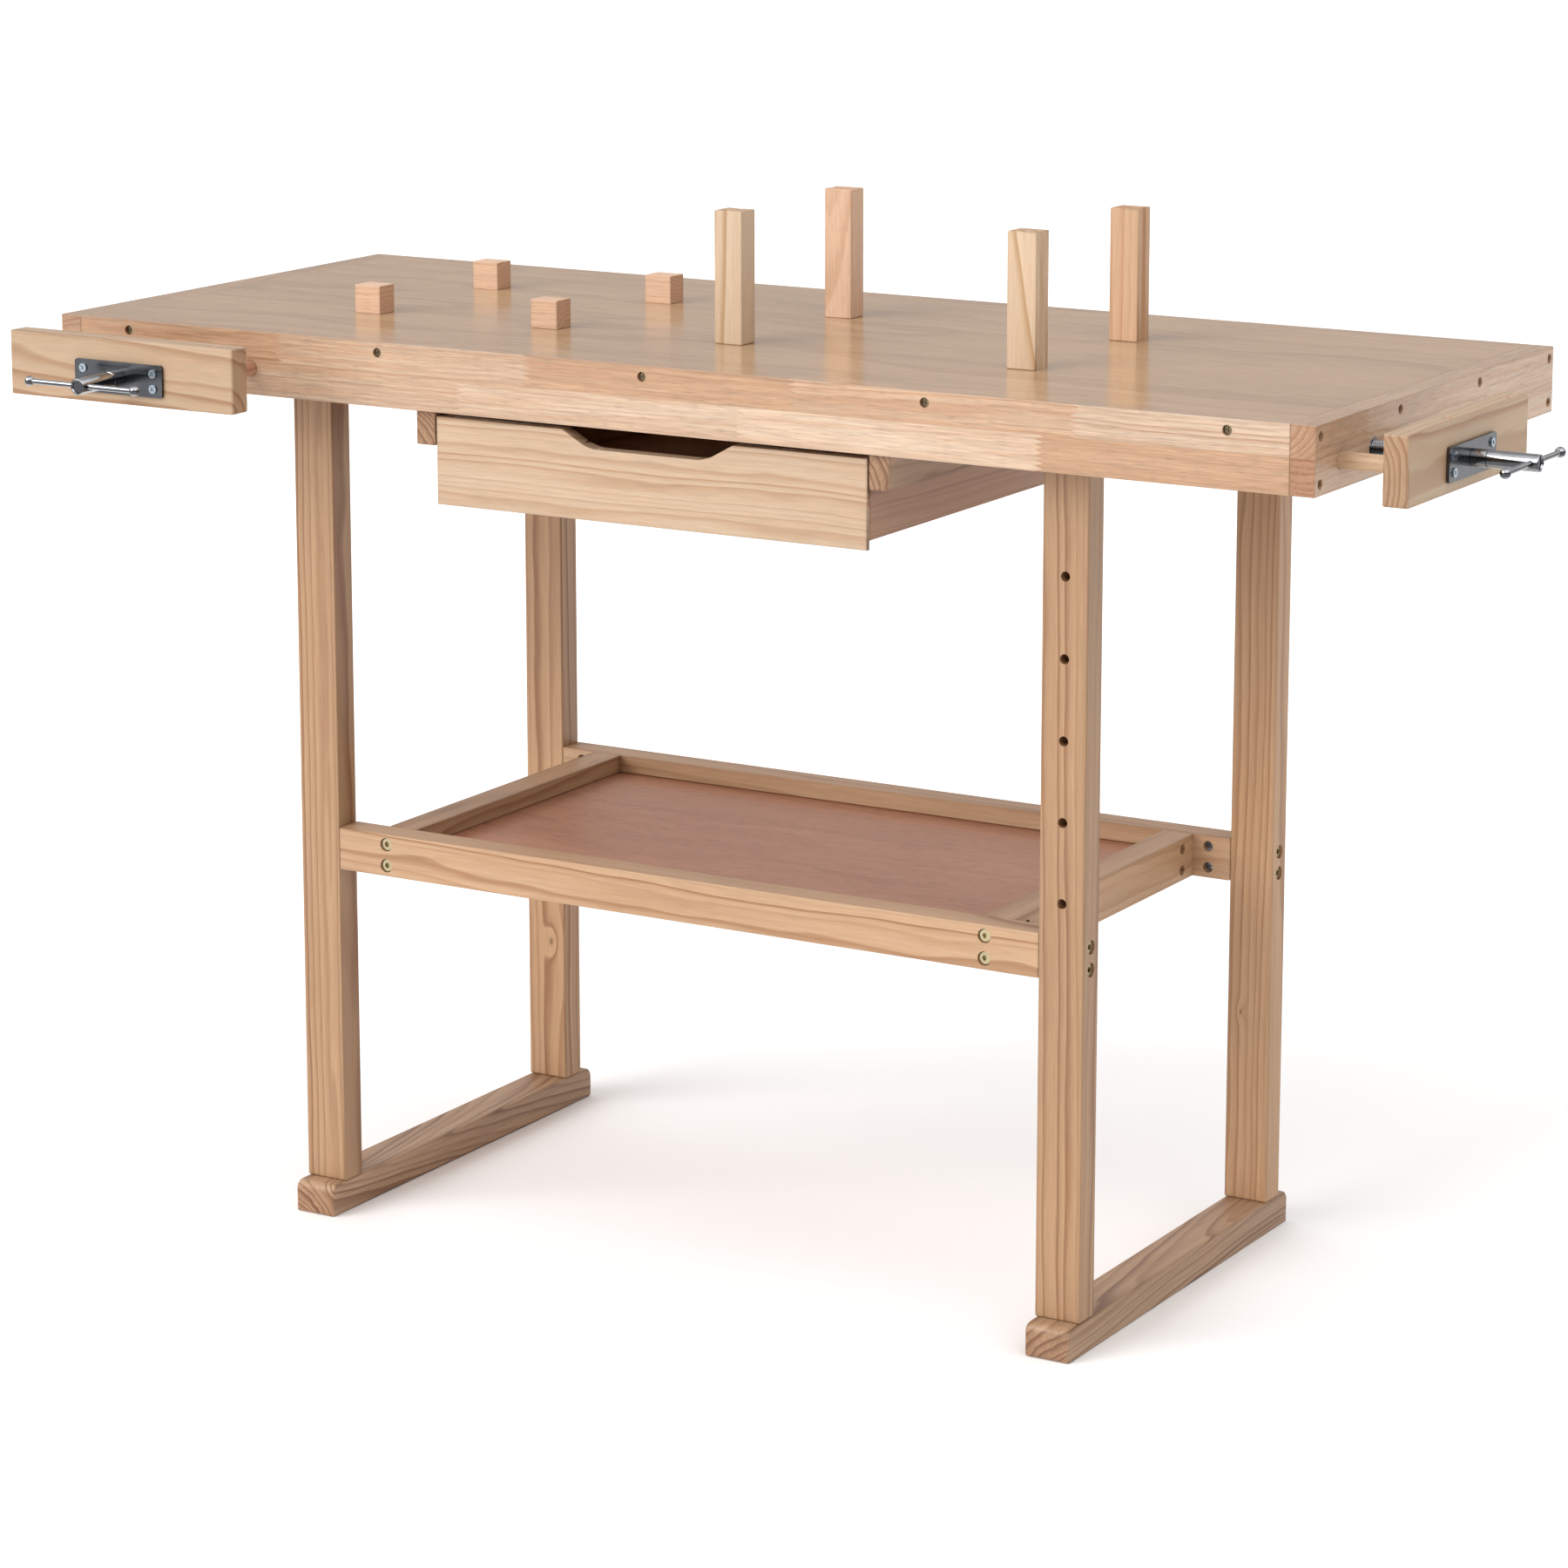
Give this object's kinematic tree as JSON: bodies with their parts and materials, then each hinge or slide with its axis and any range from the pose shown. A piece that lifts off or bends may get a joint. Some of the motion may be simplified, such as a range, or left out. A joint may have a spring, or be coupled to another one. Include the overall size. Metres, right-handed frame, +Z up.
{
  "type": "woodworking bench",
  "caption": "Wooden joiner's bench on two trestle ends with front and end vises, a shallow drawer, a lower shelf and square lift-out bench dogs.",
  "frame": {"origin": "on the floor, under the middle of the whole box with the vises at rest", "axes": "+Z up, +X along the bench towards the end vise, -Y towards the front, where the drawer opens"},
  "size_m": [1.449, 0.69, 0.982],
  "materials": {
    "edge_wood": "satin clear varnish on finger-jointed rubberwood",
    "panel_wood": "gloss clear lacquer over a straight-grained veneer",
    "pine": "satin clear varnish on pine",
    "beech": "satin oiled beech",
    "plywood": "semi-gloss varnished reddish plywood",
    "dowel_wood": "waxed hardwood dowel",
    "chrome": "polished chrome plate",
    "zinc": "yellowish zinc plate"
  },
  "bodies": {
    "bench": {"top_panel": "panel_wood", "front_apron": "edge_wood", "back_apron": "edge_wood", "left_end_cap": "edge_wood", "right_end_cap": "edge_wood", "apron_screws": "zinc", "cap_screws": "zinc", "left_top_rail": "pine", "right_top_rail": "pine", "top_rail_screws": "zinc", "front_left_leg": "pine", "front_right_leg": "pine", "back_left_leg": "pine", "back_right_leg": "pine", "left_foot": "pine", "right_foot": "pine", "foot_bolts": "zinc", "front_rail": "pine", "back_rail": "pine", "left_crosspiece": "pine", "right_crosspiece": "pine", "shelf_panel": "plywood", "rail_bolts": "zinc", "crosspiece_bolts": "zinc", "barrel_nuts": "zinc", "left_runner": "pine", "right_runner": "pine", "runner_screws": "zinc", "vise_nuts": "zinc", "vise_nut_screws": "zinc"},
    "drawer": {"drawer_front": "pine", "drawer_left_side": "pine", "drawer_right_side": "pine", "drawer_back": "pine", "drawer_bottom": "plywood"},
    "front_vise_jaw": {"front_jaw": "pine", "front_guide_rods": "dowel_wood", "front_jaw_plate": "chrome", "front_plate_screws": "zinc", "front_jaw_plugs": "beech"},
    "front_vise_spindle": {"front_spindle": "chrome", "front_retaining_ring": "zinc"},
    "front_vise_handle": {"front_handle": "chrome"},
    "end_vise_jaw": {"end_jaw": "pine", "end_guide_rods": "dowel_wood", "end_jaw_plate": "chrome", "end_plate_screws": "zinc", "end_jaw_plugs": "beech"},
    "end_vise_spindle": {"end_spindle": "chrome", "end_retaining_ring": "zinc"},
    "end_vise_handle": {"end_handle": "chrome"},
    "short_dog_1": {"short_dog_1": "beech"},
    "short_dog_2": {"short_dog_2": "beech"},
    "short_dog_3": {"short_dog_3": "beech"},
    "short_dog_4": {"short_dog_4": "beech"},
    "tall_dog_1": {"tall_dog_1": "beech"},
    "tall_dog_2": {"tall_dog_2": "beech"},
    "tall_dog_3": {"tall_dog_3": "beech"},
    "tall_dog_4": {"tall_dog_4": "beech"}
  },
  "joints": [
    {"name": "drawer_slide", "type": "slide", "parent": "bench", "child": "drawer", "axis": [0, -1, 0], "range_m": [0, 0.3]},
    {"name": "front_vise_slide", "type": "slide", "parent": "bench", "child": "front_vise_jaw", "axis": [0, -1, 0], "range_m": [-0.0835, 0.031]},
    {"name": "front_spindle_turn", "type": "hinge", "parent": "front_vise_jaw", "child": "front_vise_spindle", "pos_m": [-0.5715, -0.175, 0.8245], "axis": [0, -1, 0], "range_deg": [-7520, 2795]},
    {"name": "front_handle_slide", "type": "slide", "parent": "front_vise_spindle", "child": "front_vise_handle", "axis": [1, 0, 0], "range_m": [-0.046, 0.046]},
    {"name": "end_vise_slide", "type": "slide", "parent": "bench", "child": "end_vise_jaw", "axis": [1, 0, 0], "range_m": [-0.0625, 0.052]},
    {"name": "end_spindle_turn", "type": "hinge", "parent": "end_vise_jaw", "child": "end_vise_spindle", "pos_m": [0.5755, -0.056, 0.8245], "axis": [1, 0, 0], "range_deg": [-5630, 4685]},
    {"name": "end_handle_slide", "type": "slide", "parent": "end_vise_spindle", "child": "end_vise_handle", "axis": [0, 1, 0], "range_m": [-0.046, 0.046]},
    {"name": "short_dog_1_lift", "type": "slide", "parent": "bench", "child": "short_dog_1", "axis": [0, 0, 1], "range_m": [0, 0.03]},
    {"name": "short_dog_2_lift", "type": "slide", "parent": "bench", "child": "short_dog_2", "axis": [0, 0, 1], "range_m": [0, 0.03]},
    {"name": "short_dog_3_lift", "type": "slide", "parent": "bench", "child": "short_dog_3", "axis": [0, 0, 1], "range_m": [0, 0.03]},
    {"name": "short_dog_4_lift", "type": "slide", "parent": "bench", "child": "short_dog_4", "axis": [0, 0, 1], "range_m": [0, 0.03]},
    {"name": "tall_dog_1_lift", "type": "slide", "parent": "bench", "child": "tall_dog_1", "axis": [0, 0, 1], "range_m": [0, 0.03]},
    {"name": "tall_dog_2_lift", "type": "slide", "parent": "bench", "child": "tall_dog_2", "axis": [0, 0, 1], "range_m": [0, 0.03]},
    {"name": "tall_dog_3_lift", "type": "slide", "parent": "bench", "child": "tall_dog_3", "axis": [0, 0, 1], "range_m": [0, 0.03]},
    {"name": "tall_dog_4_lift", "type": "slide", "parent": "bench", "child": "tall_dog_4", "axis": [0, 0, 1], "range_m": [0, 0.03]}
  ],
  "couplings": [
    {"joint": "front_spindle_turn", "follows": "front_vise_slide", "rad_per_m": 1570.8},
    {"joint": "end_spindle_turn", "follows": "end_vise_slide", "rad_per_m": 1570.8}
  ]
}
